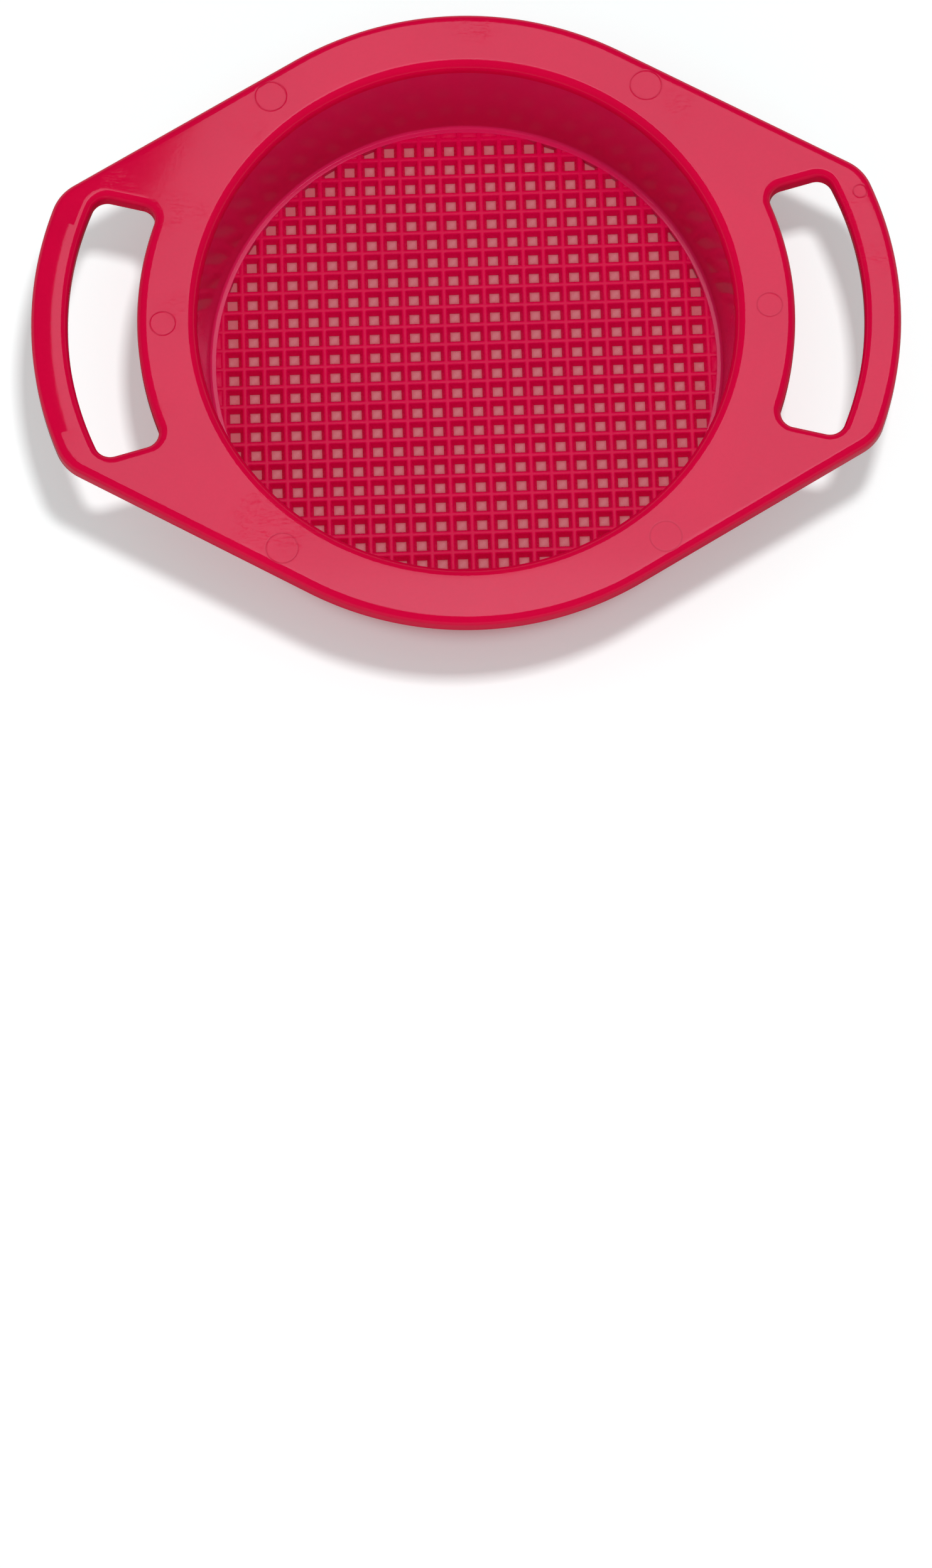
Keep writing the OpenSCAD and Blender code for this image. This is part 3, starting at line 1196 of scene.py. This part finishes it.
@dataclass(frozen=True)
class Studio:
    """A white floor, an even surround, two lamps that light the sieve and two that show as sheen on it."""

    colour: Triple
    floor_half: float = 4.0
    floor_drop: float = 0.0001
    floor_colour: float = 0.80
    seen_colour: float = 0.98
    seen_counter: float = 0.044
    seen_glow: float = 0.23
    glow_counter: float = 0.058
    shade_reach: float = 0.012
    shade_samples: int = 16
    shade_low: float = 0.62
    shade_high: float = 0.97
    shade_base: float = 0.103
    shade_pass: float = 0.565
    gloss_reach: float = 0.15
    gloss_share: float = 0.5
    white_from: float = 0.22
    white_past: float = 0.60
    even_light: float = 0.40
    light_lean: Triple = (-0.12, -0.05, 0.0)
    zenith: float = 0.10
    white_below: float = 0.04
    dim_above: float = 0.32
    lamps: tuple[SoftBox, ...] = (
        SoftBox("sheen_box", (0.10, 0.48, 1.50), 0.62, 0.60, 5.4, turn=-24.0, lights=False),
        SoftBox("near_sheen_box", (0.08, 0.25, 1.52), 0.46, 0.42, 1.9, lights=False),
        SoftBox("fill_box", (-0.40, -1.72, 0.32), 1.40, 0.55, 2.4, in_gloss=False, aimed=True),
        SoftBox("key_box", (0.30, 0.10, 2.56), 0.30, 0.30, 108.0, in_gloss=False),
    )

    def build(self) -> None:
        """Lays the floor just under the sieve, sets the surround and hangs the lamps."""
        line = np.array([-self.floor_half, self.floor_half])
        x, y = np.meshgrid(line, line, indexing="ij")
        points = np.stack([x, y, np.full_like(x, -self.floor_drop)], -1).reshape(-1, 3)
        mesh = bpy.data.meshes.new("floor")
        mesh.from_pydata(points.tolist(), [], grid_faces(2, 2).tolist())
        mesh.materials.append(self.floor_material())
        floor = bpy.data.objects.new("floor", mesh)
        bpy.context.scene.collection.objects.link(floor)
        self.set_surround()
        for lamp in self.lamps:
            lamp.build()

    def floor_material(self) -> bpy.types.Material:
        """White floor that keeps the shadow, and is clear from below so that the underside can be seen.

        Returns:
            The material.
        """
        material = bpy.data.materials.new("white_floor")
        w = Wiring.fresh(material)
        rays = w.add("ShaderNodeLightPath").outputs
        lighting = w.add("ShaderNodeBsdfDiffuse", {"Color": (self.floor_colour,) * 3 + (1.0,)}).outputs[0]
        top = w.mixed(self.eye(w, rays), lighting, self.seen_floor(w, rays))
        below = w.add("ShaderNodeNewGeometry").outputs["Backfacing"]
        clear = w.add("ShaderNodeBsdfTransparent").outputs[0]
        w.add("ShaderNodeOutputMaterial", {"Surface": w.mixed(below, top, clear)})
        return material

    def seen_floor(self, w: Wiring, rays: bpy.types.NodeOutputs) -> bpy.types.NodeSocket:
        """The floor as it shows: lit white with a little glow, shaded where the sieve shuts out light.

        The shade takes on the sieve's colour, and the white is held back in it to offset its bounce.
        The floor fades to plain white with distance. In gloss the shade reaches farther, and the near floor
        is dimmer.

        Args:
            w: Wiring of the floor's material.
            rays: Outputs of its light path.

        Returns:
            The shader.
        """
        colour = np.array(self.colour)
        reach = w.math("MULTIPLY_ADD", rays["Is Glossy Ray"], self.gloss_reach, self.shade_reach)
        open_sky = w.add("ShaderNodeAmbientOcclusion", {"Distance": reach}, samples=self.shade_samples)
        share = w.spread(open_sky.outputs["AO"], self.shade_low, self.shade_high)
        under = tuple(self.shade_base + self.shade_pass * colour) + (1.0,)
        held = w.math("MULTIPLY_ADD", rays["Is Glossy Ray"], self.gloss_share - 1.0, 1.0)
        tint = w.scaled(w.blend(share, under, WHITE), held)
        pale = w.vector("MULTIPLY", tint, tuple(self.seen_colour - self.seen_counter * colour))
        lifted = w.vector("MULTIPLY", tint, tuple(self.seen_glow - self.glow_counter * colour))
        matte = w.add("ShaderNodeBsdfDiffuse", {"Color": pale}).outputs[0]
        glow = w.add("ShaderNodeEmission", {"Color": lifted, "Strength": 1.0}).outputs[0]
        close = w.add("ShaderNodeAddShader", {0: matte, 1: glow}).outputs[0]
        away = w.measure("LENGTH", w.add("ShaderNodeTexCoord").outputs["Object"])
        white = w.add("ShaderNodeEmission", {"Color": WHITE, "Strength": 1.0}).outputs[0]
        return w.mixed(w.spread(away, self.white_from, self.white_past), close, white)

    @staticmethod
    def eye(w: Wiring, rays: bpy.types.NodeOutputs) -> bpy.types.NodeSocket:
        """One for rays that show the background: from the camera, in gloss, or through something clear."""
        either = w.math("MAXIMUM", rays["Is Camera Ray"], rays["Is Glossy Ray"])
        return w.math("MAXIMUM", either, rays["Is Transmission Ray"])

    def set_surround(self) -> None:
        """Sets a surround that is white to the camera, bright near the horizon in gloss, and lights evenly.

        The light is the even level plus the direction's product with the lean.
        """
        world = bpy.data.worlds.new("surround")
        bpy.context.scene.world = world
        w = Wiring.fresh(world)
        direction = w.add("ShaderNodeTexCoord").outputs["Generated"]
        height = w.add("ShaderNodeSeparateXYZ", {0: direction}).outputs[2]
        seen = w.spread(height, self.white_below, self.dim_above, 1.0, self.zenith)
        light = w.math("ADD", w.measure("DOT_PRODUCT", direction, self.light_lean), self.even_light)
        rays = w.add("ShaderNodeLightPath").outputs
        level = w.math("MULTIPLY_ADD", self.eye(w, rays), w.math("SUBTRACT", seen, light), light)
        shown = w.math("MAXIMUM", level, rays["Is Camera Ray"])
        sky = w.add("ShaderNodeBackground", {"Color": WHITE, "Strength": shown}).outputs[0]
        w.add("ShaderNodeOutputWorld", {"Surface": sky})


@dataclass(frozen=True)
class PhotoCamera:
    """The long lens of the photograph, placed by where its axis meets the floor."""

    meets: tuple[float, float] = (-0.00475, -0.14214)
    distance: float = 2.15756
    elevation: float = 71.495
    azimuth: float = 1.395
    roll: float = -0.484
    lens: float = 157.2
    sensor: float = 36.0
    clip_near: float = 0.05
    clip_far: float = 50.0

    def build(self) -> None:
        """Sets the camera: it looks down its axis from a distance, turned about the axis by its roll."""
        up = math.radians(self.elevation)
        turn = math.radians(self.azimuth)
        ahead = Vector((math.sin(turn) * math.cos(up), math.cos(turn) * math.cos(up), -math.sin(up)))
        across = ahead.cross(Vector((0.0, 0.0, 1.0))).normalized()
        right = Matrix.Rotation(-math.radians(self.roll), 3, ahead) @ across
        axes = Matrix((right, right.cross(ahead), -ahead)).transposed()
        data = bpy.data.cameras.new("photo_camera")
        data.lens = self.lens
        data.sensor_width = self.sensor
        data.sensor_fit = "AUTO"
        data.dof.use_dof = False
        data.clip_start = self.clip_near
        data.clip_end = self.clip_far
        camera = bpy.data.objects.new("photo_camera", data)
        place = Vector((self.meets[0], self.meets[1], 0.0)) - self.distance * ahead
        camera.matrix_world = Matrix.Translation(place) @ axes.to_4x4()
        bpy.context.scene.collection.objects.link(camera)
        bpy.context.scene.camera = camera


def main() -> None:
    """Builds the camera, the sieve and the studio in order, and reports each piece as it is placed."""
    logging.basicConfig(level=logging.INFO, format="%(name)s: %(message)s")
    bpy.context.scene.view_settings.view_transform = "Standard"
    PhotoCamera().build()
    sizes = SieveSizes()
    steps = Steps()
    effects = Effects()
    colour = COLOURWAY.value
    basin_material = BASIN_FINISH.build(effects, colour)
    rim_material = RIM_FINISH.build(effects, colour)
    Rim(sizes, steps, Plan(sizes, steps), rim_material).build()
    Basin(sizes, steps, rim_material, basin_material).build()
    Grille(sizes, GRILLE_FINISH.build(effects, colour)).build()
    Studio(colour).build()


if __name__ == "__main__":
    main()
